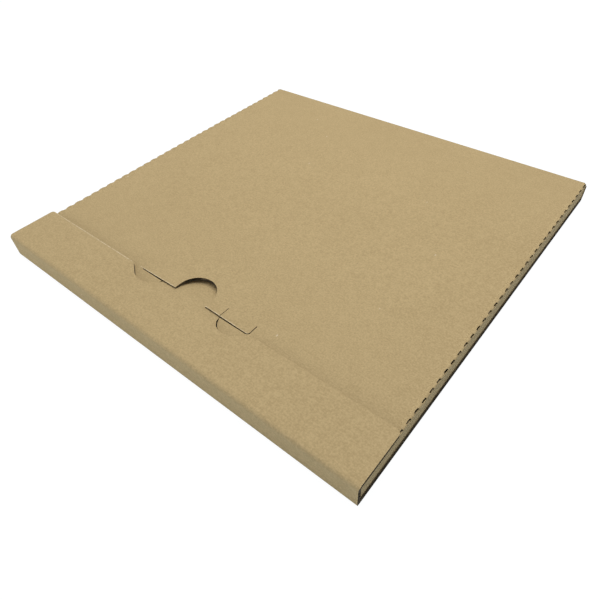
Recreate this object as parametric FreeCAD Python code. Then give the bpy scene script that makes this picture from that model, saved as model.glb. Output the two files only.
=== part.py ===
import FreeCAD, Part
import math
import os

from FreeCAD import Vector

# Record mailer: one die-cut sheet of corrugated board, folded up into a flat square box.
# All sizes are in millimetres. The origin is at the bottom centre, +X runs to the right along
# the front wall, +Y from the front wall to the back wall and +Z up.

# Overall sizes.
box_width = 330.0  # along the front wall, raw edge to raw edge
box_depth = 323.0  # from the outside of the front wall to the outside of the back wall
lid_top = 16.7  # height of the lid's outer face

# The board: two flat liners and a wavy medium between them, with its flutes along X.
board = 2.7
liner = 0.3
medium = 0.25
flute_pitch = 6.5
flank_lean = 40.0  # degrees that the medium's flanks lean from the board's thickness

# Folds and running gaps.
fold_inner = 0.3  # radius inside each fold
wall_gap = 0.5  # lid's front edge and lips to the walls that they tuck inside
lip_gap = 0.3  # lips' raw edges to the base that they stand over
flap_gap = 0.25  # underside of the closed flap to the lid
fold_gap = 0.3  # parting line in the fold where the flap turns
hinge_stand_off = 0.2  # turning line outside the fold's surface
part_gap = 0.5  # closing tab to the edges of the lid around it

# The lid's side lips, which hang from perforated folds.
lip_inset = 0.8  # lips' outer faces inside the raw ends of the base and walls
cut_pitch = 8.1
cut_length = 4.05
last_cut_length = 5.2  # the cut that ends the row at the back corner

# The closing flap, and the lock in the middle of its rear edge.
flap_reach = 39.1  # front wall's outside to the flap's rear edge
slit_setback = 0.9  # flap's rear edge to the slit in the lid
slit_width = 0.6
slit_shift = 1.8  # slit's middle to the right of the tab's
slit_turn_radius = 2.0
slit_return = 8.6
cross_cut_x = 28.5  # short cut from the slit towards the back
cross_cut_width = 0.4
thumb_width = 30.0
thumb_depth = 20.0  # from the slit to the far side of the thumb hole
moon_radius = 13.2  # half-moon reliefs in the flap, one on each side of the tab
moon_depth = 9.2
moon_inset = 10.7  # middle of each half-moon inside the end of the tab's ear
moon_side_angle = 35.0  # degrees between a half-moon's outer side and the flap's edge
moon_corner_radius = 8.0
tab_half_width = 52.0  # the tab's ears, under the lid
tab_reach = 22.0  # from the slit to the tab's far edge
tab_gap = 0.4  # tab's upper face to the lid over it
tab_corner_radius = 8.0
lip_edge = 1.0  # board left where the lid's edge is crushed over the tab
crush_length = 9.0  # from the slit to where the board has its full thickness again

# Sizes and places that follow from the ones above.
half_width = box_width / 2
front_y = -box_depth / 2
back_y = box_depth / 2
fold_outer = fold_inner + board
flap_top = lid_top + flap_gap + board
lip_face = half_width - lip_inset
cut_depth = board / 2
fold_line_x = lip_face - cut_depth
lid_front = front_y + board + wall_gap
lid_back = back_y - fold_outer
flap_edge_y = front_y + flap_reach
slit_y = flap_edge_y + slit_setback
slit_left = tab_half_width - slit_shift  # from the middle to the slit's plain end
slit_right = tab_half_width + slit_shift  # from the middle to where the slit turns back
moon_x = tab_half_width - moon_inset
tab_root_y = flap_edge_y - moon_depth
moon_y = tab_root_y + moon_radius
ear_y = slit_y + slit_width
over = 5.0  # how far a cutting shape runs past what it cuts


def rounded_wire(corners):
    """A closed wire through (point, radius) corners, each rounded by its own radius."""
    stretches = []
    for index, (point, radius) in enumerate(corners):
        to_last = (corners[index - 1][0] - point).normalize()
        to_next = (corners[(index + 1) % len(corners)][0] - point).normalize()
        half_angle = to_last.getAngle(to_next) / 2
        reach = radius / math.tan(half_angle)
        bisector = (to_last + to_next).normalize() if radius else Vector()
        centre = point + bisector * (radius / math.sin(half_angle))
        middle = centre - bisector * radius
        stretches.append((point + to_last * reach, middle, point + to_next * reach, radius))
    edges = []
    for index, (start, middle, end, radius) in enumerate(stretches):
        before = stretches[index - 1][2]
        if before.distanceToPoint(start) > 1e-6:
            edges.append(Part.LineSegment(before, start).toShape())
        if radius:
            edges.append(Part.Arc(start, middle, end).toShape())
    return Part.Wire(edges)


def section_wire(corners, x):
    """A rounded outline in the plane across X, from (y, z, radius) corners."""
    return rounded_wire([(Vector(x, y, z), radius) for y, z, radius in corners])


def plan_prism(corners, bottom, top):
    """An upright prism over a rounded plan outline, from (x, y, radius) corners."""
    outline = rounded_wire([(Vector(x, y, bottom), radius) for x, y, radius in corners])
    return Part.Face(outline).extrude(Vector(0, 0, top - bottom))


def box_between(low, high):
    return Part.makeBox(high[0] - low[0], high[1] - low[1], high[2] - low[2], Vector(*low))


def flute_wires(start, along, outward, length):
    """Outlines of the air channels in a straight stretch of board.

    start is on the board's middle plane, along runs across the flutes and outward points to
    the outer liner. Channels that lie against one liner alternate with those against the other.
    """
    lean = math.radians(flank_lean)
    half_core = board / 2 - liner
    apex = half_core - medium
    waist = (flute_pitch / 2 - medium / math.cos(lean)) / 2
    mouth = waist + half_core * math.tan(lean)
    radius = (waist * math.cos(lean) - apex * math.sin(lean)) / (1 - math.sin(lean))
    shoulder_u = radius * math.cos(lean)
    shoulder_v = radius - apex - radius * math.sin(lean)
    step = flute_pitch / 2
    count = int((length - 2 * mouth) / step) + 1
    first = (length - (count - 1) * step) / 2
    wires = []
    for index in range(count):
        middle = start + along * (first + index * step)
        side = outward * (1 if index % 2 == 0 else -1)
        mouth_left = middle - along * mouth + side * half_core
        mouth_right = middle + along * mouth + side * half_core
        right = middle + along * shoulder_u + side * shoulder_v
        left = middle - along * shoulder_u + side * shoulder_v
        tip = middle - side * apex
        edges = [
            Part.LineSegment(mouth_left, mouth_right).toShape(),
            Part.LineSegment(mouth_right, right).toShape(),
            Part.Arc(right, tip, left).toShape(),
            Part.LineSegment(left, mouth_left).toShape(),
        ]
        wires.append(Part.Wire(edges))
    return wires


def fluted_face(outline, channels):
    return Part.makeFace([outline] + channels, "Part::FaceMakerBullseye")


def make_tray():
    """Front wall, base and back wall, with the front wall's share of the flap's fold."""
    x = -half_width
    stub_y = front_y + fold_outer + board
    outline = section_wire(
        [
            (stub_y, flap_top, 0),
            (front_y, flap_top, fold_outer),
            (front_y, 0, fold_outer),
            (back_y, 0, fold_outer),
            (back_y, lid_top - fold_outer, 0),
            (back_y - board, lid_top - fold_outer, 0),
            (back_y - board, board, fold_inner),
            (front_y + board, board, fold_inner),
            (front_y + board, flap_top - board, fold_inner),
            (stub_y, flap_top - board, 0),
        ],
        x,
    )
    channels = flute_wires(
        Vector(x, front_y + fold_outer, board / 2),
        Vector(0, 1, 0),
        Vector(0, 0, -1),
        box_depth - 2 * fold_outer,
    )
    channels += flute_wires(
        Vector(x, front_y + board / 2, fold_outer),
        Vector(0, 0, 1),
        Vector(0, -1, 0),
        flap_top - 2 * fold_outer,
    )
    channels += flute_wires(
        Vector(x, back_y - board / 2, fold_outer),
        Vector(0, 0, 1),
        Vector(0, 1, 0),
        lid_top - 2 * fold_outer,
    )
    tray = fluted_face(outline, channels).extrude(Vector(box_width, 0, 0))
    return tray.cut(fold_half(1))


def fold_half(side):
    """All that lies on one side of the mitre in the flap's fold: 1 the flap's, -1 the wall's."""
    centre = Vector(-half_width - over, front_y + fold_outer, flap_top - fold_outer)
    outward = Vector(0, -math.sqrt(0.5), math.sqrt(0.5))
    across = Vector(0, math.sqrt(0.5), math.sqrt(0.5)) * side
    size = 4 * fold_outer
    near = centre - across * (fold_gap / 2)
    corners = [
        near + outward * size,
        near - outward * size,
        near - outward * size + across * size,
        near + outward * size + across * size,
    ]
    face = Part.Face(rounded_wire([(corner, 0) for corner in corners]))
    return face.extrude(Vector(box_width + 2 * over, 0, 0))


def make_back_fold():
    """The fold between the back wall and the lid."""
    outline = section_wire(
        [
            (back_y, lid_top - fold_outer, 0),
            (back_y, lid_top, fold_outer),
            (lid_back, lid_top, 0),
            (lid_back, lid_top - board, 0),
            (back_y - board, lid_top - board, fold_inner),
            (back_y - board, lid_top - fold_outer, 0),
        ],
        -fold_line_x,
    )
    return Part.Face(outline).extrude(Vector(2 * fold_line_x, 0, 0))


def make_lid():
    """The lid with both side lips: its section is carried up one lip, across and down the other."""
    middle_x = lip_face - board / 2
    middle_z = lid_top - board / 2
    bend = fold_inner + board / 2
    bottom = board + lip_gap
    corner_x = middle_x - bend
    corner_z = middle_z - bend
    slack = bend * math.sqrt(0.5)
    path = Part.Wire(
        [
            Part.LineSegment(Vector(-middle_x, 0, bottom), Vector(-middle_x, 0, corner_z)).toShape(),
            Part.Arc(
                Vector(-middle_x, 0, corner_z),
                Vector(-corner_x - slack, 0, corner_z + slack),
                Vector(-corner_x, 0, middle_z),
            ).toShape(),
            Part.LineSegment(Vector(-corner_x, 0, middle_z), Vector(corner_x, 0, middle_z)).toShape(),
            Part.Arc(
                Vector(corner_x, 0, middle_z),
                Vector(corner_x + slack, 0, corner_z + slack),
                Vector(middle_x, 0, corner_z),
            ).toShape(),
            Part.LineSegment(Vector(middle_x, 0, corner_z), Vector(middle_x, 0, bottom)).toShape(),
        ]
    )
    outline = rounded_wire(
        [
            (Vector(-lip_face, lid_front, bottom), 0),
            (Vector(-lip_face, lid_back, bottom), 0),
            (Vector(-lip_face + board, lid_back, bottom), 0),
            (Vector(-lip_face + board, lid_front, bottom), 0),
        ]
    )
    channels = flute_wires(
        Vector(-middle_x, lid_front, bottom),
        Vector(0, 1, 0),
        Vector(-1, 0, 0),
        lid_back - lid_front,
    )
    return path.makePipe(fluted_face(outline, channels))


def perforations():
    """The cuts along the lid's side folds, each open by half the board as the fold is bent."""
    length = lid_back - lid_front
    count = round(length / cut_pitch)
    pitch = length / count
    cuts = []
    for side in (-1, 1):
        inner, outer = sorted((side * fold_line_x, side * (lip_face + over)))
        for index in range(count):
            middle = lid_front + (index + 0.5) * pitch
            end = middle + cut_length / 2
            if index == count - 1:
                end = middle - cut_length / 2 + last_cut_length
            low = (inner, middle - cut_length / 2, lid_top - cut_depth)
            cuts.append(box_between(low, (outer, end, lid_top + over)))
    return cuts


def moons(radius, bottom, top):
    """Upright cylinders on the half-moons' centres."""
    return [
        Part.makeCylinder(radius, top - bottom, Vector(side * moon_x, moon_y, bottom))
        for side in (-1, 1)
    ]


def lid_openings():
    """The slit with its turned-back end, the cross cut, the thumb hole and the tab's way down."""
    bottom = lid_top - board - over / 2
    top = lid_top + over / 2
    near = slit_y - slit_width / 2
    far = slit_y + slit_width / 2
    slit = plan_prism(
        [
            (-slit_left, near, 0),
            (slit_right + slit_width / 2, near, slit_turn_radius + slit_width / 2),
            (slit_right + slit_width / 2, slit_y + slit_return, 0),
            (slit_right - slit_width / 2, slit_y + slit_return, 0),
            (slit_right - slit_width / 2, far, slit_turn_radius - slit_width / 2),
            (-slit_left, far, 0),
        ],
        bottom,
        top,
    )
    cross_cut = box_between(
        (cross_cut_x - cross_cut_width / 2, slit_y, bottom),
        (cross_cut_x + cross_cut_width / 2, slit_y + slit_return, top),
    )
    thumb_hole = plan_prism(
        [
            (-thumb_width / 2, near, 0),
            (thumb_width / 2, near, 0),
            (thumb_width / 2, slit_y + thumb_depth, thumb_width / 2),
            (-thumb_width / 2, slit_y + thumb_depth, thumb_width / 2),
        ],
        bottom,
        top,
    )
    window = box_between((-moon_x, tab_root_y - part_gap, bottom), (moon_x, slit_y, top))
    window = window.cut(moons(moon_radius - part_gap, bottom, top))
    return [slit, cross_cut, thumb_hole, window]


def crushed_edge():
    """The lid's edge behind the slit: solid crushed paper, and the wedge pressed out of it."""
    reach = slit_right + tab_corner_radius / 2
    far = slit_y + crush_length
    block = box_between((-reach, slit_y, lid_top - board), (reach, far, lid_top))
    wedge_outline = section_wire(
        [
            (slit_y, lid_top - lip_edge, 0),
            (far, lid_top - board, 0),
            (far, lid_top - board - over, 0),
            (slit_y, lid_top - board - over, 0),
        ],
        -reach,
    )
    return block, Part.Face(wedge_outline).extrude(Vector(2 * reach, 0, 0))


def make_mailer_body():
    block, wedge = crushed_edge()
    lid = make_lid().fuse(block).cut([wedge] + lid_openings() + perforations())
    return make_tray().fuse([make_back_fold(), lid]).removeSplitter()


def make_flap_panel():
    """The closing flap's flat strip, from its fold to its rear edge."""
    x = -half_width
    stub_z = flap_top - fold_outer - board
    outline = section_wire(
        [
            (flap_edge_y, flap_top, 0),
            (front_y, flap_top, fold_outer),
            (front_y, stub_z, 0),
            (front_y + board, stub_z, 0),
            (front_y + board, flap_top - board, fold_inner),
            (flap_edge_y, flap_top - board, 0),
        ],
        x,
    )
    channels = flute_wires(
        Vector(x, front_y + fold_outer, flap_top - board / 2),
        Vector(0, 1, 0),
        Vector(0, 0, 1),
        flap_reach - fold_outer,
    )
    panel = fluted_face(outline, channels).extrude(Vector(box_width, 0, 0))
    return panel.cut(fold_half(-1))


def moon_cutters():
    """Each half-moon: a round bottom, and a straight outer side that sweeps out to the edge."""
    bottom = flap_top - board - over
    top = flap_top + over
    angle = math.radians(moon_side_angle)
    tangent_x = moon_x + moon_radius * math.sin(angle)
    tangent_y = moon_y - moon_radius * math.cos(angle)
    edge_x = tangent_x + (flap_edge_y - tangent_y) / math.tan(angle)
    cutters = moons(moon_radius, bottom, top)
    for side in (-1, 1):
        cutters.append(
            plan_prism(
                [
                    (side * moon_x, moon_y, 0),
                    (side * tangent_x, tangent_y, 0),
                    (side * edge_x, flap_edge_y, moon_corner_radius),
                    (side * (edge_x + moon_corner_radius), flap_edge_y, 0),
                    (side * (edge_x + moon_corner_radius), moon_y, 0),
                ],
                bottom,
                top,
            )
        )
    return cutters


def make_tab():
    """The tab: a neck that dips through the lid, and ears that lie level under it past the slit."""
    tip_y = slit_y + tab_reach
    level_z = lid_top - board - tab_gap
    top_line = [
        (tab_root_y, flap_top),
        (slit_y, lid_top - lip_edge - tab_gap),
        (slit_y + crush_length, level_z),
        (tip_y, level_z),
    ]
    corners = [(y, z, 0) for y, z in top_line]
    corners += [(y, z - board, 0) for y, z in reversed(top_line)]
    channels = []
    for (y, z), (next_y, next_z) in zip(top_line, top_line[1:]):
        run = Vector(0, next_y - y, next_z - z)
        start = Vector(-tab_half_width, y, z - board / 2)
        channels += flute_wires(start, Vector(run).normalize(), Vector(0, 0, 1), run.Length)
    face = fluted_face(section_wire(corners, -tab_half_width), channels)
    strip = face.extrude(Vector(2 * tab_half_width, 0, 0))
    neck = box_between((-moon_x, tab_root_y, 0), (moon_x, ear_y, flap_top))
    neck = neck.cut(moons(moon_radius, 0, flap_top))
    ears = plan_prism(
        [
            (-tab_half_width, ear_y, 0),
            (tab_half_width, ear_y, 0),
            (tab_half_width, tip_y, tab_corner_radius),
            (-tab_half_width, tip_y, tab_corner_radius),
        ],
        0,
        flap_top,
    )
    return strip.common(neck.fuse(ears))


def make_closing_flap():
    root_cut = box_between(
        (-moon_x, tab_root_y, flap_top - board - over),
        (moon_x, flap_edge_y + over, flap_top + over),
    )
    panel = make_flap_panel().cut(moon_cutters() + [root_cut])
    return panel.fuse(make_tab()).removeSplitter()


def hinge_line():
    """A point on the line that the flap turns about, just outside the middle of its fold."""
    reach = (fold_outer + hinge_stand_off) * math.sqrt(0.5)
    return Vector(0, front_y + fold_outer - reach, flap_top - fold_outer + reach)


def main():
    os.makedirs("parts", exist_ok=True)
    nodes = {"mailer_body": make_mailer_body(), "closing_flap": make_closing_flap()}
    for name, shape in nodes.items():
        solids = shape.Solids
        print(name, "solids", len(solids), "valid", shape.isValid(), "volume", round(shape.Volume))
        print("   box", shape.BoundBox)
        Part.makeCompound(solids).exportStep(f"parts/{name}.step")
    print("hinge", hinge_line())


main()
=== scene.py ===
import bmesh
import bpy
import math
from mathutils import Matrix, Vector, noise


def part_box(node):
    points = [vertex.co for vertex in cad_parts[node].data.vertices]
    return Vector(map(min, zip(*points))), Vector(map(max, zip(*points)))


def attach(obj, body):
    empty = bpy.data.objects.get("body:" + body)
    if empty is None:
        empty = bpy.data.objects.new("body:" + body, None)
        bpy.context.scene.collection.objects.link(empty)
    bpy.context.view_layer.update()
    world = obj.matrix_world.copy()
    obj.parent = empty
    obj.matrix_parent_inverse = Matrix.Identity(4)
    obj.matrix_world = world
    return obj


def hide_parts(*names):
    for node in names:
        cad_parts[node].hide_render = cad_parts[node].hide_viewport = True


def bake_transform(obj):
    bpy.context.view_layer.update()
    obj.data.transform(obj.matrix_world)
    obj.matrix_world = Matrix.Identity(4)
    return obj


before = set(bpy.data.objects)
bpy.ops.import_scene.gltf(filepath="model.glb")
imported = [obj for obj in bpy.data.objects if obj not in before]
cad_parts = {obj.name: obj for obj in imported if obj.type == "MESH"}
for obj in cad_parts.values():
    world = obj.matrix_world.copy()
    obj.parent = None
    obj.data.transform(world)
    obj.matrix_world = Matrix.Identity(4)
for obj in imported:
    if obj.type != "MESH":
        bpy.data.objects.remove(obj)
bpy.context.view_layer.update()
scene = bpy.context.scene

mm = 0.001
bodyLow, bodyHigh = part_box("mailer_body")
flapLow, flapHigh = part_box("closing_flap")

# the board that the whole mailer is folded from, and the gaps that it is folded with
board = {
    "thickness": 2.7 * mm,
    "liner": 0.3 * mm,
    "linerShare": 0.85,  # stops just short of where the flutes meet the liner
    "cutFacing": 0.2,  # most that a cut's face leans towards the outside
    "foldInner": 0.3 * mm,
    "foldStep": 15,  # degrees between two slices round a fold
    "foldGap": 0.3 * mm,  # parting line in the flap's fold
    "wallGap": 0.5 * mm,  # lid's front edge to the front wall
    "flapGap": 0.25 * mm,  # closed flap to lid
    "lipInset": 0.8 * mm,  # side lips inside the raw ends
    "sharpAngle": 32,
}
foldOuter = board["foldInner"] + board["thickness"]
frontY, backY = bodyLow.y, bodyHigh.y
flapTop = flapHigh.z
lidTop = flapTop - board["thickness"] - board["flapGap"]
lipFace = bodyHigh.x - board["lipInset"]
lidFront = frontY + board["thickness"] + board["wallGap"]
lidBack = backY - foldOuter
tiny = 0.02 * mm
skin = 0.1 * mm  # a point this near the outer face counts as on it
weld = 0.001 * mm  # corners of the loose triangles that are one point
sliver = 0.002 * mm  # edges shorter than this are left by the slices
hair = 0.0001 * mm  # a vertex this near a slice lies on it
aligned = 0.9  # least cosine between two directions that count as the same


def newObject(name, data):
    made = bpy.data.objects.new(name, data)
    scene.collection.objects.link(made)
    return made


class Signal:
    # a shader socket: sums on it add maths nodes
    def __init__(self, shader, socket):
        self.shader, self.socket = shader, socket

    def maths(self, operation, *others):
        inputs = dict(enumerate((self, *others)))
        return self.shader.node("ShaderNodeMath", {"operation": operation}, inputs)

    def __add__(self, other):
        return self.maths("ADD", other)

    __radd__ = __add__

    def __mul__(self, other):
        return self.maths("MULTIPLY", other)

    __rmul__ = __mul__

    def __rsub__(self, other):
        return self * -1 + other

    def __lt__(self, other):
        return self.maths("LESS_THAN", other)

    def __gt__(self, other):
        return self.maths("GREATER_THAN", other)


class Shader:
    # the nodes of one material, or of the world
    def __init__(self, owner):
        self.owner = owner
        owner.use_nodes = True
        self.tree = owner.node_tree
        self.tree.nodes.clear()

    def node(self, kind, settings=None, inputs=None, output=0):
        made = self.tree.nodes.new(kind)
        for key, value in (settings or {}).items():
            if key == "stops":
                ramp = made.color_ramp.elements
                while len(ramp) < len(value):
                    ramp.new(1)
                for stop, (place, shade) in zip(ramp, value):
                    stop.position = place
                    stop.color = (shade, shade, shade, 1)
            else:
                setattr(made, key, value)
        for key, value in (inputs or {}).items():
            if isinstance(value, Signal):
                self.tree.links.new(value.socket, made.inputs[key])
            else:
                made.inputs[key].default_value = value
        return Signal(self, made.outputs[output]) if made.outputs else None

    def mix(self, amount, first, second):
        # colour sockets of a Mix node are numbers 6 and 7, and its colour output is number 2
        settings = {"data_type": "RGBA"}
        return self.node("ShaderNodeMix", settings, {0: amount, 6: first, 7: second}, 2)

    def noise(self, place, scale, detail=2.0, roughness=0.5):
        inputs = {"Vector": place, "Scale": scale, "Detail": detail, "Roughness": roughness}
        return self.node("ShaderNodeTexNoise", None, inputs)

    def stretched(self, place, scale, turn=(0, 0, 0)):
        inputs = {"Vector": place, "Scale": scale, "Rotation": turn}
        return self.node("ShaderNodeMapping", None, inputs)

    def ramp(self, tone, low, high):
        return self.node("ShaderNodeValToRGB", {"stops": [(low, 0), (high, 1)]}, {0: tone})

    def paper(self, colour, height, look):
        depths = {"Strength": look["bump"], "Distance": look["bumpDepth"], "Height": height}
        bump = self.node("ShaderNodeBump", None, depths)
        inputs = {"Base Color": colour, "Normal": bump}
        inputs.update({"Roughness": look["roughness"], "Specular IOR Level": look["gloss"]})
        return self.finish(self.node("ShaderNodeBsdfPrincipled", None, inputs))

    def finish(self, surface):
        self.node("ShaderNodeOutputMaterial", None, {"Surface": surface})
        return self.owner


kraft = {
    "dark": (0.470, 0.341, 0.168, 1),
    "pale": (0.583, 0.433, 0.222, 1),
    "fleckDark": (0.250, 0.180, 0.095, 1),
    "fleckPale": (0.760, 0.650, 0.460, 1),
    "fleckStretch": 0.55,
    "fleckTurn": 0.7,
    # pale fibres of a frayed cut, also standing as a painted highlight along the cut
    "frayedAndHighlit": (0.820, 0.680, 0.450, 1),
    "roughness": 0.88,
    "gloss": 0.2,
    "bump": 0.3,
    "bumpDepth": 0.1 * mm,
    "driftScale": 14,
    "cloudScale": 150,
    "grainScale": 900,
    "fibreScale": 1600,
    "alongScale": 300,  # the long way of fibres that lie along the flutes
    "acrossScale": 340,
    "slant": 0.5,
    "contrast": (0.41, 0.59),
    "frayHighlightScale": 420,
    "frayHighlightContrast": (0.40, 0.60),
    "frayHighlightLeast": 0.15,
    "frayHighlightPatches": 0.45,
}
# cut board, with colours set darker than the cut alone as painted shade
cutPaperAndShade = {
    "dark": (0.058, 0.046, 0.029, 1),
    "pale": (0.128, 0.100, 0.064, 1),
    "roughness": 0.95,
    "gloss": 0.1,
    "bump": 0.6,
    "bumpDepth": 0.2 * mm,
    "fuzzScale": 1800,
    "patchScale": 240,
    "contrast": (0.35, 0.65),
}
flute = {
    "dark": (0.14, 0.11, 0.07, 1),
    "pale": (0.26, 0.20, 0.125, 1),
    "roughness": 0.95,
    "gloss": 0.1,
    "bump": 0.3,
    "bumpDepth": 0.1 * mm,
    "grainScale": 1300,
    "contrast": (0.35, 0.65),
}


def startPaper(name):
    s = Shader(bpy.data.materials.new(name))
    return s, s.node("ShaderNodeTexCoord", output="Object")


def kraftColour(s, place):
    # cloudy pulp, fine grain and short fibres that lie mostly one way
    fibre = kraft["fibreScale"]
    clouds = s.noise(place, kraft["cloudScale"])
    grain = s.noise(place, kraft["grainScale"], roughness=0.6)
    drift = s.noise(place, kraft["driftScale"])
    level = s.stretched(place, (kraft["alongScale"], fibre, fibre))
    along = s.noise(level, 1, roughness=0.6)
    slanted = s.stretched(place, (fibre, kraft["acrossScale"], fibre), (0, 0, kraft["slant"]))
    across = s.noise(slanted, 1, roughness=0.6)
    tone = clouds * 0.10 + grain * 0.50 + drift * 0.06 + along * 0.22 + across * 0.12
    colour = s.mix(s.ramp(tone, *kraft["contrast"]), kraft["dark"], kraft["pale"])
    height = grain * 0.6 + along * 0.4
    return colour, height


def flecks(s, place, colour):
    # bits of bark and of white pulp that show in recycled paper
    kinds = (
        {"colour": "fleckDark", "scale": 170, "size": 0.060, "rare": 0.80, "strength": 0.55},
        {"colour": "fleckPale", "scale": 105, "size": 0.055, "rare": 0.72, "strength": 0.60},
    )
    for kind in kinds:
        scale = kind["scale"]
        flat = scale * kraft["fleckStretch"]
        warped = s.stretched(place, (scale, flat, scale), (0, 0, kraft["fleckTurn"]))
        near = s.node("ShaderNodeTexVoronoi", None, {"Vector": warped, "Scale": 1}, "Distance")
        pick = s.node("ShaderNodeTexVoronoi", None, {"Vector": warped, "Scale": 1}, "Color")
        mask = (near < kind["size"]) * (pick > kind["rare"]) * kind["strength"]
        colour = s.mix(mask, colour, kraft[kind["colour"]])
    return colour


def kraftLiner(name, left, right, start, end):
    # a pale band along one cut: partly fibres that the die frays, partly a painted highlight
    # where light catches the cut's edge; from left to right in x and from start to end in y
    s, place = startPaper(name)
    colour, height = kraftColour(s, place)
    colour = flecks(s, place, colour)
    x, y = (s.node("ShaderNodeSeparateXYZ", None, {0: place}, axis) for axis in range(2))
    band = (y > start) * (y < end) * (x > left) * (x < right)
    broken = s.ramp(s.noise(place, kraft["frayHighlightScale"]), *kraft["frayHighlightContrast"])
    frayedAndHighlit = band * (broken * kraft["frayHighlightPatches"] + kraft["frayHighlightLeast"])
    colour = s.mix(frayedAndHighlit, colour, kraft["frayedAndHighlit"])
    return s.paper(colour, height, kraft)


def cutEdgeAndShade():
    # the die's cut: compressed fibres, darker than the face, and darker still as painted shade
    # for the cuts that lie in shadow
    s, place = startPaper("cut_edge_and_shade")
    fuzz = s.noise(place, cutPaperAndShade["fuzzScale"], detail=3, roughness=0.7)
    patches = s.noise(place, cutPaperAndShade["patchScale"])
    shade = s.ramp(fuzz * 0.6 + patches * 0.4, *cutPaperAndShade["contrast"])
    colour = s.mix(shade, cutPaperAndShade["dark"], cutPaperAndShade["pale"])
    return s.paper(colour, fuzz, cutPaperAndShade)


def flutePaper():
    # the fluting medium inside the board: greyer recycled paper
    s, place = startPaper("flute_paper")
    grain = s.noise(place, flute["grainScale"], detail=3, roughness=0.6)
    colour = s.mix(s.ramp(grain, *flute["contrast"]), flute["dark"], flute["pale"])
    return s.paper(colour, grain, flute)


# both boards share the papers inside them, and each has its own outside paper
linerSlot, edgeAndShadeSlot, fluteSlot = range(3)
innerPapers = [cutEdgeAndShade(), flutePaper()]
print("papers made")

# each fold: its axis, the line that it turns about, the way to its two faces, and how tight
# the crease is on the outside
folds = {
    "frontBottom": {"across": 1, "centre": (frontY + foldOuter, foldOuter),
                    "turn": (-1, -1), "corner": 1.3 * mm},
    "backBottom": {"across": 1, "centre": (backY - foldOuter, foldOuter),
                   "turn": (1, -1), "corner": 1.3 * mm},
    "backTop": {"across": 1, "centre": (backY - foldOuter, lidTop - foldOuter),
                "turn": (1, 1), "corner": 1.5 * mm},
    "flapFold": {"across": 1, "centre": (frontY + foldOuter, flapTop - foldOuter),
                 "turn": (-1, 1), "corner": foldOuter},
    "leftLip": {"across": 0, "centre": (foldOuter - lipFace, lidTop - foldOuter),
                "turn": (-1, 1), "corner": 1.1 * mm},
    "rightLip": {"across": 0, "centre": (lipFace - foldOuter, lidTop - foldOuter),
                 "turn": (1, 1), "corner": 1.1 * mm},
}


def foldReach(fold, point):
    # how far a point lies past the fold's line towards its side face and its top or bottom face
    sideways = (point[fold["across"]] - fold["centre"][0]) * fold["turn"][0]
    return sideways, (point[2] - fold["centre"][1]) * fold["turn"][1]


def inFold(fold, point):
    if min(foldReach(fold, point)) <= 0:
        return False
    return fold["across"] == 1 or lidFront - tiny < point.y < lidBack + tiny


def foldAt(point):
    return next((fold for fold in folds.values() if inFold(fold, point)), None)


# the lock in the middle of the flap's edge
lock = {
    "slit": 40.0 * mm,  # behind the front wall's face
    "slitHalf": 0.3 * mm,
    "slitReach": 53.8 * mm,  # from the middle to its farther end
    "frayHighlightWidth": 0.7 * mm,
    "flapEdge": 39.1 * mm,
    "tabRoot": 29.9 * mm,
    "tabTip": 62.0 * mm,
    "neckHalf": 41.3 * mm,
    "lipEdge": 1.0 * mm,  # crushed edge of the lid behind the slit
    "crush": 9.0 * mm,
    "tabGap": 0.4 * mm,
    "spread": 62.0 * mm,  # half the width that the lid lifts over
    "lidLift": 1.5 * mm,
    "liftReach": 48.0 * mm,
    "bendStart": 23.5 * mm,  # where the flap begins to dip towards the slit
    "tabLow": 12.9 * mm,  # height of the tab's far edge
}
slitY = frontY + lock["slit"]
flapEdgeY = frontY + lock["flapEdge"]
tabRootY = frontY + lock["tabRoot"]
tabTipY = frontY + lock["tabTip"]
bendStartY = frontY + lock["bendStart"]
tabLine = [
    (tabRootY, flapTop),
    (slitY, lidTop - lock["lipEdge"] - lock["tabGap"]),
    (slitY + lock["crush"], lidTop - board["thickness"] - lock["tabGap"]),
    (tabTipY, lidTop - board["thickness"] - lock["tabGap"]),
]


def fade(amount):
    # from 1 at nothing to 0 at one, level at both ends
    return 0.5 + 0.5 * math.cos(math.pi * min(max(amount, 0), 1))


def tabHeight(y):
    for (startY, startZ), (endY, endZ) in zip(tabLine, tabLine[1:]):
        if y <= endY:
            return startZ + (endZ - startZ) * max(y - startY, 0) / (endY - startY)
    return tabLine[-1][1]


def onTab(point):
    return point.y > slitY or point.y > tabRootY and abs(point.x) < lock["neckHalf"]


def bodyPlace(point):
    # depth below the board's outer face, and the way out of it
    x, y, z = abs(point.x), point.y, point.z
    above = board["thickness"] + skin
    fold = foldAt(point)
    if fold:
        sideways, upright = foldReach(fold, point)
        out = Vector((0, 0, upright * fold["turn"][1]))
        out[fold["across"]] = sideways * fold["turn"][0]
        return foldOuter - out.length, out.normalized()
    if x > lipFace - above and z > above and lidFront - tiny < y < lidBack + tiny:
        return lipFace - x, Vector((1 if point.x > 0 else -1, 0, 0))
    if y < frontY + above:
        return y - frontY, Vector((0, -1, 0))
    if y > backY - above:
        return backY - y, Vector((0, 1, 0))
    if z < above:
        return z, Vector((0, 0, -1))
    return lidTop - z, Vector((0, 0, 1))


def flapPlace(point):
    if inFold(folds["flapFold"], point):
        return bodyPlace(point)
    return (tabHeight(point.y) if onTab(point) else flapTop) - point.z, Vector((0, 0, 1))


def boardCopy(node):
    bm = bmesh.new()
    bm.from_mesh(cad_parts[node].data)
    bmesh.ops.remove_doubles(bm, verts=bm.verts, dist=weld)
    return bm


def inBase(face):
    return face.calc_center_median().z < board["thickness"]


def onBase(face):
    level = abs(face.calc_center_median().z - board["thickness"]) < tiny
    return level and face.normal.z > aligned


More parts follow.
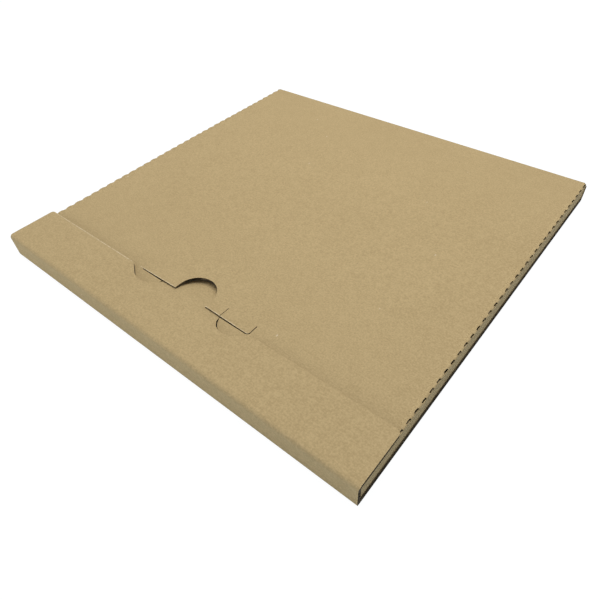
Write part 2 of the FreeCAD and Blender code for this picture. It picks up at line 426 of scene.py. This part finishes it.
def paint(bm, placeOf):
    inner = board["liner"] * board["linerShare"]
    for face in bm.faces:
        depth, out = placeOf(face.calc_center_median())
        if abs(face.normal.dot(out)) < board["cutFacing"]:
            face.material_index = edgeAndShadeSlot
        elif inner < depth < board["thickness"] - inner:
            # painted shade: the base's open flutes take the dark cut paper, for the shade that
            # the base lies in
            face.material_index = edgeAndShadeSlot if inBase(face) else fluteSlot


def slicePlane(bm, faces, point, normal):
    # slice only these faces, so that the rest of the board keeps its few triangles
    geom = list({part for face in faces for part in (*face.verts, *face.edges)}) + faces
    sliced = bmesh.ops.bisect_plane(bm, geom=geom, dist=hair, plane_co=point, plane_no=normal)
    return [part for part in sliced["geom"] if isinstance(part, bmesh.types.BMFace)]


def sliceAlong(bm, faces, axis, places):
    # slices across one axis, halving the job each time
    if not faces or not places:
        return
    middle = len(places) // 2
    point, normal = Vector((0, 0, 0)), Vector((0, 0, 0))
    point[axis], normal[axis] = places[middle], 1
    below, above = [], []
    for face in slicePlane(bm, faces, point, normal):
        side = below if face.calc_center_median()[axis] < places[middle] else above
        side.append(face)
    sliceAlong(bm, below, axis, places[:middle])
    sliceAlong(bm, above, axis, places[middle + 1:])


def levels(start, end, step):
    count = max(1, round((end - start) / step))
    return [start + (end - start) * index / count for index in range(count + 1)]


def roundFolds(bm, names, placeOf):
    # finer steps round the outside of each fold
    for name in names:
        fold = folds[name]
        inner = foldOuter - fold["corner"]
        planes = []
        for angle in range(0, 91, board["foldStep"]):
            turn = math.radians(angle)
            sideways = inner + fold["corner"] * math.cos(turn)
            upright = inner + fold["corner"] * math.sin(turn)
            normal = Vector((0, 0, sideways * fold["turn"][1]))
            normal[fold["across"]] = -upright * fold["turn"][0]
            place = Vector((0, 0, fold["centre"][1]))
            place[fold["across"]] = fold["centre"][0]
            planes.append((place, normal))
        faces = []
        for face in bm.faces:
            middle = face.calc_center_median()
            if foldAt(middle) is fold and placeOf(middle)[0] < skin:
                faces.append(face)
        for place, normal in planes:
            faces = slicePlane(bm, faces, place, normal)


def tighten(fold, point):
    # carry a plain quarter round to the crease's tighter corner, at every depth of the board
    sideways, upright = foldReach(fold, point)
    reach = math.hypot(sideways, upright)
    if reach < tiny:
        return Vector((0, 0, 0))
    across, up = sideways / reach, upright / reach
    inner = foldOuter - fold["corner"]
    target = foldOuter / max(across, up)
    if target * min(across, up) > inner:
        middle = inner * (across + up)
        target = middle + math.sqrt(max(middle ** 2 - 2 * inner ** 2 + fold["corner"] ** 2, 0))
    if reach > foldOuter - skin:
        grown = target
    else:
        grown = reach * target / foldOuter
    shift = Vector((0, 0, (grown - reach) * up * fold["turn"][1]))
    shift[fold["across"]] = (grown - reach) * across * fold["turn"][0]
    return shift


def finishBoard(bm, name, node, body, liner):
    bmesh.ops.remove_doubles(bm, verts=bm.verts, dist=sliver)
    bmesh.ops.dissolve_degenerate(bm, dist=sliver, edges=bm.edges)
    mesh = bpy.data.meshes.new(name)
    bm.to_mesh(mesh)
    bm.free()
    for paper in (liner, *innerPapers):
        mesh.materials.append(paper)
    mesh.shade_smooth()
    mesh.set_sharp_from_angle(angle=math.radians(board["sharpAngle"]))
    piece = newObject(name, mesh)
    # without this, thin dark lines show where a fold meets the flat board
    weighted = piece.modifiers.new("flats_first", "WEIGHTED_NORMAL")
    weighted.keep_sharp = True
    if body:
        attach(piece, body)
    if node:
        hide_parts(node)
    mesh.calc_loop_triangles()
    print(name, len(mesh.loop_triangles), "triangles")
    return piece


# the lid, its side lips and the tray under them
lid = {
    "cutPitch": 8.1 * mm,
    "bulge": 0.55 * mm,  # board between two cuts of the perforation
    "bulgeWobble": 0.2,
    "crown": 0.5 * mm,
    "crownStep": 28 * mm,
    "liftStep": (8 * mm, 6 * mm),  # across and along the mailer
    "lipBottom": 3.0 * mm,
    "lipWave": 0.22 * mm,
    "lipWaveScale": (20, 70),
    "lipRise": 0.9 * mm,  # lips' raw edges, curled up off the base
    "edgeWave": 0.22 * mm,  # raw ends of the whole board
    "edgeWaveScale": (9, 110, 200),
}
lipBottom = lid["lipBottom"]
cutCount = round((lidBack - lidFront) / lid["cutPitch"])
cutPitch = (lidBack - lidFront) / cutCount


def lidLift(x, y):
    # the tab pushes the lid up behind the slit
    if y < slitY:
        return 0
    return lock["lidLift"] * fade(abs(x) / lock["spread"]) * fade((y - slitY) / lock["liftReach"])


def bridgeBulge(fold, point):
    sideways, upright = foldReach(fold, point)
    square = sideways ** 2 + upright ** 2
    if square < tiny ** 2:
        return Vector((0, 0, 0))
    corner = 2 * sideways * upright / square * min(1, square / foldOuter ** 2)
    steps = (point.y - lidFront) / cutPitch
    swell = math.cos(math.pi * (steps - round(steps)))
    # each cut and each side has its own place in the noise
    luck = noise.noise(Vector((round(steps) * 3.7, fold["centre"][0] * 50, 0.5)))
    wobble = 1 + lid["bulgeWobble"] * luck
    size = lid["bulge"] * corner * swell * wobble * math.sqrt(0.5)
    return Vector((size * fold["turn"][0], 0, size))


def bodyShift(point):
    x, y, z = point
    shift = Vector((0, 0, 0))
    fold = foldAt(point)
    if fold:
        shift += tighten(fold, point)
        if fold["across"] == 0:
            shift += bridgeBulge(fold, point)
    if lidFront - tiny < y < lidBack + tiny and z > lipBottom - tiny:
        along = (y - flapEdgeY) / (lidBack - flapEdgeY)
        if along > 0:
            shift.z += lid["crown"] * math.sin(math.pi * min(along, 1)) ** 2
        if z > lidTop - board["thickness"] - tiny:
            shift.z += lidLift(x, y)
        if abs(x) > lipFace - board["thickness"] - tiny and z < lidTop - foldOuter:
            hang = (lidTop - foldOuter - z) / (lidTop - foldOuter - lipBottom)
            waveX, waveY = lid["lipWaveScale"]
            wave = noise.noise(Vector((x * waveX, y * waveY, 3.1)))
            shift.z += (lid["lipRise"] + lid["lipWave"] * wave) * hang
            shift.x -= math.copysign(lid["lipWave"], x) * abs(wave) * hang
    if abs(x) > bodyHigh.x - tiny:
        place = Vector(point) * Vector(lid["edgeWaveScale"])
        wave = 0.5 + 0.5 * noise.noise(place)
        shift.x -= math.copysign(lid["edgeWave"], x) * wave
    return shift


bm = boardCopy("mailer_body")
paint(bm, bodyPlace)
# painted shade: the base's top paper outside the lips takes the dark cut paper, for the shade
# under the lips
baseTop = [face for face in bm.faces if onBase(face)]
sliceAlong(bm, baseTop, 0, [-lipFace, lipFace])
for face in bm.faces:
    if onBase(face) and abs(face.calc_center_median().x) > lipFace:
        face.material_index = edgeAndShadeSlot  # the base's rim, in the lips' shade
print("mailer's papers told apart", len(bm.faces))
roundFolds(bm, folds, bodyPlace)
print("folds rounded", len(bm.faces))
lidFaces = [face for face in bm.faces if all(
    lidFront - tiny < vert.co.y < lidBack + tiny and vert.co.z > lipBottom - tiny
    for vert in face.verts)]
liftEndY = slitY + lock["liftReach"]
crownLevels = levels(flapEdgeY, lidBack, lid["crownStep"])
crownLevels += levels(slitY, liftEndY, lid["liftStep"][1])[1:]
sliceAlong(bm, lidFaces, 1, sorted(crownLevels))
print("crown sliced", len(bm.faces))
lidUnder = lidTop - board["thickness"]
raised = []
for face in bm.faces:
    middle = face.calc_center_median()
    if slitY < middle.y < liftEndY and middle.z > lidUnder - tiny:
        raised.append(face)
liftLevels = levels(-lock["spread"], lock["spread"], lid["liftStep"][0])
sliceAlong(bm, raised, 0, liftLevels)
print("lid sliced", len(bm.faces))
bridged = []
for face in bm.faces:
    middle = face.calc_center_median()
    fold = foldAt(middle)
    if fold and fold["across"] == 0:
        sideways, upright = foldReach(fold, middle)
        if foldOuter - math.hypot(sideways, upright) < skin:
            bridged.append(face)
bridgeLevels = levels(lidFront, lidBack, cutPitch / 4)[1:-1]
sliceAlong(bm, bridged, 1, bridgeLevels)
print("perforation sliced", len(bm.faces))
for vert in bm.verts:
    vert.co += bodyShift(vert.co)
# fray and painted highlight along the lid's cut just behind the slit
slitBack = slitY + lock["slitHalf"]
slitEnds = (-lock["slitReach"], lock["slitReach"])
bodyLiner = kraftLiner("kraft_liner", *slitEnds, slitBack, slitBack + lock["frayHighlightWidth"])
finishBoard(bm, "mailer_board", "mailer_body", "box", bodyLiner)

# the closing flap, with its tab through the slit
flap = {
    "cornerRadius": 2.6 * mm,  # worn rear corners
    "cornerSteps": (0.2, 0.4, 0.6, 0.8, 1),
    "crushed": 0.6,  # share of the dip that the board takes up by crushing, in front of the tab
    "settle": 4 * mm,  # the crushing begins over this, behind the tab's root
    "dipStep": 1.6 * mm,  # slices that the dip needs, along the mailer and then across it
    "dipStepAside": 6 * mm,
    "dipHalf": 66 * mm,
    "dipMargin": 3 * mm,
}


def flapShift(point):
    x, y, z = point
    shift = Vector((0, 0, 0))
    if inFold(folds["flapFold"], point):
        return tighten(folds["flapFold"], point)
    middle = fade(abs(x) / lock["spread"])
    span = tabTipY - bendStartY
    rise = flapTop - lock["tabLow"]
    if onTab(point):
        curve = lock["tabLow"] + rise * fade((y - bendStartY) / span)
        settle = fade((y - tabRootY) / flap["settle"])
        depth = (tabHeight(y) - z) / board["thickness"]
        shift.z = (curve - tabHeight(y)) * middle * (1 - flap["crushed"] * depth * settle)
    else:
        curve = lock["tabLow"] + rise * fade((min(y, tabRootY) - bendStartY) / span)
        depth = (flapTop - z) / board["thickness"]
        shift.z = (curve - flapTop) * middle * (1 - flap["crushed"] * depth)
    radius = flap["cornerRadius"]
    sideways = (abs(x) - (flapHigh.x - radius)) / radius
    back = (y - (flapEdgeY - radius)) / radius
    if sideways > 0 and back > 0 and not onTab(point):
        scale = max(sideways, back) / math.hypot(sideways, back) - 1
        shift.x += math.copysign(1, x) * sideways * radius * scale
        shift.y += back * radius * scale
    return shift


def facesBehind(bm, y):
    return [face for face in bm.faces if face.calc_center_median().y > y]


bm = boardCopy("closing_flap")
paint(bm, flapPlace)
roundFolds(bm, ("flapFold",), flapPlace)
foldEndY = frontY + foldOuter
sliceAlong(bm, facesBehind(bm, foldEndY), 1, levels(bendStartY, tabTipY, flap["dipStep"]))
dipLevels = levels(-flap["dipHalf"], flap["dipHalf"], flap["dipStepAside"])
sliceAlong(bm, facesBehind(bm, bendStartY - flap["dipMargin"]), 0, dipLevels)
insets = [flap["cornerRadius"] * step for step in flap["cornerSteps"]]
sideLevels = sorted(side * (flapHigh.x - inset) for inset in insets for side in (-1, 1))
sliceAlong(bm, facesBehind(bm, foldEndY), 0, sideLevels)
sliceAlong(bm, facesBehind(bm, foldEndY), 1, sorted(flapEdgeY - inset for inset in insets))
print("flap sliced", len(bm.faces))
for vert in bm.verts:
    vert.co += flapShift(vert.co)
# fray and painted highlight along the flap's rear edge, on its left part only
frayHighlightStart = flapEdgeY - lock["frayHighlightWidth"]
flapLiner = kraftLiner("flap_liner", flapLow.x, -lock["slitReach"], frayHighlightStart, flapEdgeY)
finishBoard(bm, "flap_board", "closing_flap", "flap", flapLiner)

# the board's crease where the flap turns: a strip in steps across the turning line, as it lies
# with the flap closed; the real crease fans out from that line as the flap opens
crease = {"steps": 16, "halfGap": board["foldGap"] / 2}
centre = Vector((0, *folds["flapFold"]["centre"]))
outward = Vector((0, -math.sqrt(0.5), math.sqrt(0.5)))
acrossFold = Vector((0, math.sqrt(0.5), math.sqrt(0.5)))
bm = bmesh.new()
corner = folds["flapFold"]["corner"]
innerReach = board["foldInner"]
outerReach = (foldOuter - corner) * math.sqrt(2) + corner
ends = []
for x in (flapLow.x, flapHigh.x):
    corners = []
    for side, reach in ((-1, innerReach), (1, innerReach), (1, outerReach), (-1, outerReach)):
        place = centre + outward * reach + acrossFold * side * crease["halfGap"]
        corners.append(bm.verts.new(place + Vector((x, 0, 0))))
    bm.faces.new(corners)
    ends.append(corners)
# the sides are made one by one, because an extrude lists them in a new order each run
left, right = ends
for index in range(len(left)):
    bm.faces.new((left[index - 1], left[index], right[index], right[index - 1]))
bmesh.ops.recalc_face_normals(bm, faces=bm.faces)
for face in bm.faces:
    if abs(face.normal.x) > aligned:
        face.material_index = edgeAndShadeSlot
spanning = []
for edge in bm.edges:
    way = (edge.verts[0].co - edge.verts[1].co).normalized()
    if abs(way.dot(acrossFold)) > aligned:
        spanning.append(edge)
bmesh.ops.subdivide_edges(bm, edges=spanning, cuts=crease["steps"] - 1, use_grid_fill=True)
foldCore = finishBoard(bm, "fold_core", None, None, flapLiner)
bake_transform(foldCore)

studio = {
    "floorReach": 3.0,
    "floorGlow": 1.09,
    "shadowShare": 0.12,  # how much of the floor's own light and shade the camera sees
    "cameraPlace": Vector((0.2186, -0.2514, 0.2574)),
    "cameraAim": Vector((0.0498, -0.0666, 0)),
    "cameraRoll": -4.27,
    "lens": 30.52,
    "worldLight": 0.34,
    "worldShade": 0.45,  # how much darker the room is on the right
    "worldTint": (0.90, 0.97, 1.06, 1),
    "floorTint": (0.80, 0.90, 1.0, 1),
    "lampTint": (1.0, 0.99, 0.97),
    "lampAim": Vector((0, 0, 0)),
}
white = (1, 1, 1, 1)


def seenDirectly(s):
    # 1 where the eye, a reflection or a clear pane looks at this surface
    rays = [s.node("ShaderNodeLightPath", output=name)
            for name in ("Is Camera Ray", "Is Glossy Ray", "Is Transmission Ray")]
    return rays[0].maths("MAXIMUM", rays[1]).maths("MAXIMUM", rays[2])


def paleFloor():
    s = Shader(bpy.data.materials.new("pale_floor"))
    matte = s.node("ShaderNodeBsdfDiffuse", None, {"Color": studio["floorTint"]})
    glow = s.node("ShaderNodeEmission", None, {"Color": white, "Strength": studio["floorGlow"]})
    shown = s.node("ShaderNodeMixShader", None, {0: studio["shadowShare"], 1: glow, 2: matte})
    return s.finish(s.node("ShaderNodeMixShader", None, {0: seenDirectly(s), 1: matte, 2: shown}))


bm = bmesh.new()
bmesh.ops.create_grid(bm, x_segments=1, y_segments=1, size=studio["floorReach"])
floorMesh = bpy.data.meshes.new("floor")
bm.to_mesh(floorMesh)
bm.free()
floorMesh.materials.append(paleFloor())
floor = newObject("floor", floorMesh)

world = bpy.data.worlds.new("studio")
scene.world = world
sky = Shader(world)
sight = sky.node("ShaderNodeTexCoord", output="Generated")
rightward = sky.node("ShaderNodeSeparateXYZ", None, {0: sight})
strength = (1 - rightward * studio["worldShade"]) * studio["worldLight"]
tint = studio["worldTint"]
light = sky.node("ShaderNodeBackground", None, {"Color": tint, "Strength": strength})
backdrop = sky.node("ShaderNodeBackground", None, {"Color": white, "Strength": 1})
both = sky.node("ShaderNodeMixShader", None, {0: seenDirectly(sky), 1: light, 2: backdrop})
sky.node("ShaderNodeOutputWorld", None, {"Surface": both})


def areaLamp(name, place, size, power):
    # a round lamp that faces the mailer
    light = bpy.data.lights.new(name, "AREA")
    light.shape = "DISK"
    light.size = size
    light.energy = power
    light.color = studio["lampTint"]
    lamp = newObject(name, light)
    lamp.location = place
    facing = studio["lampAim"] - Vector(place)
    lamp.rotation_euler = facing.to_track_quat("-Z", "Y").to_euler()


areaLamp("overhead", place=(0.0, 0.22, 1.0), size=0.8, power=6.7)
areaLamp("front_left", place=(-0.8, -1.0, 0.3), size=0.5, power=3.2)

cameraData = bpy.data.cameras.new("camera")
cameraData.lens = studio["lens"]
cameraData.sensor_width = 36
cameraData.clip_start = 0.01
camera = newObject("camera", cameraData)
look = (studio["cameraAim"] - studio["cameraPlace"]).to_track_quat("-Z", "Y").to_matrix().to_4x4()
roll = Matrix.Rotation(math.radians(studio["cameraRoll"]), 4, "Z")
camera.matrix_world = Matrix.Translation(studio["cameraPlace"]) @ look @ roll
scene.camera = camera
scene.view_settings.view_transform = "Standard"
print("studio ready")
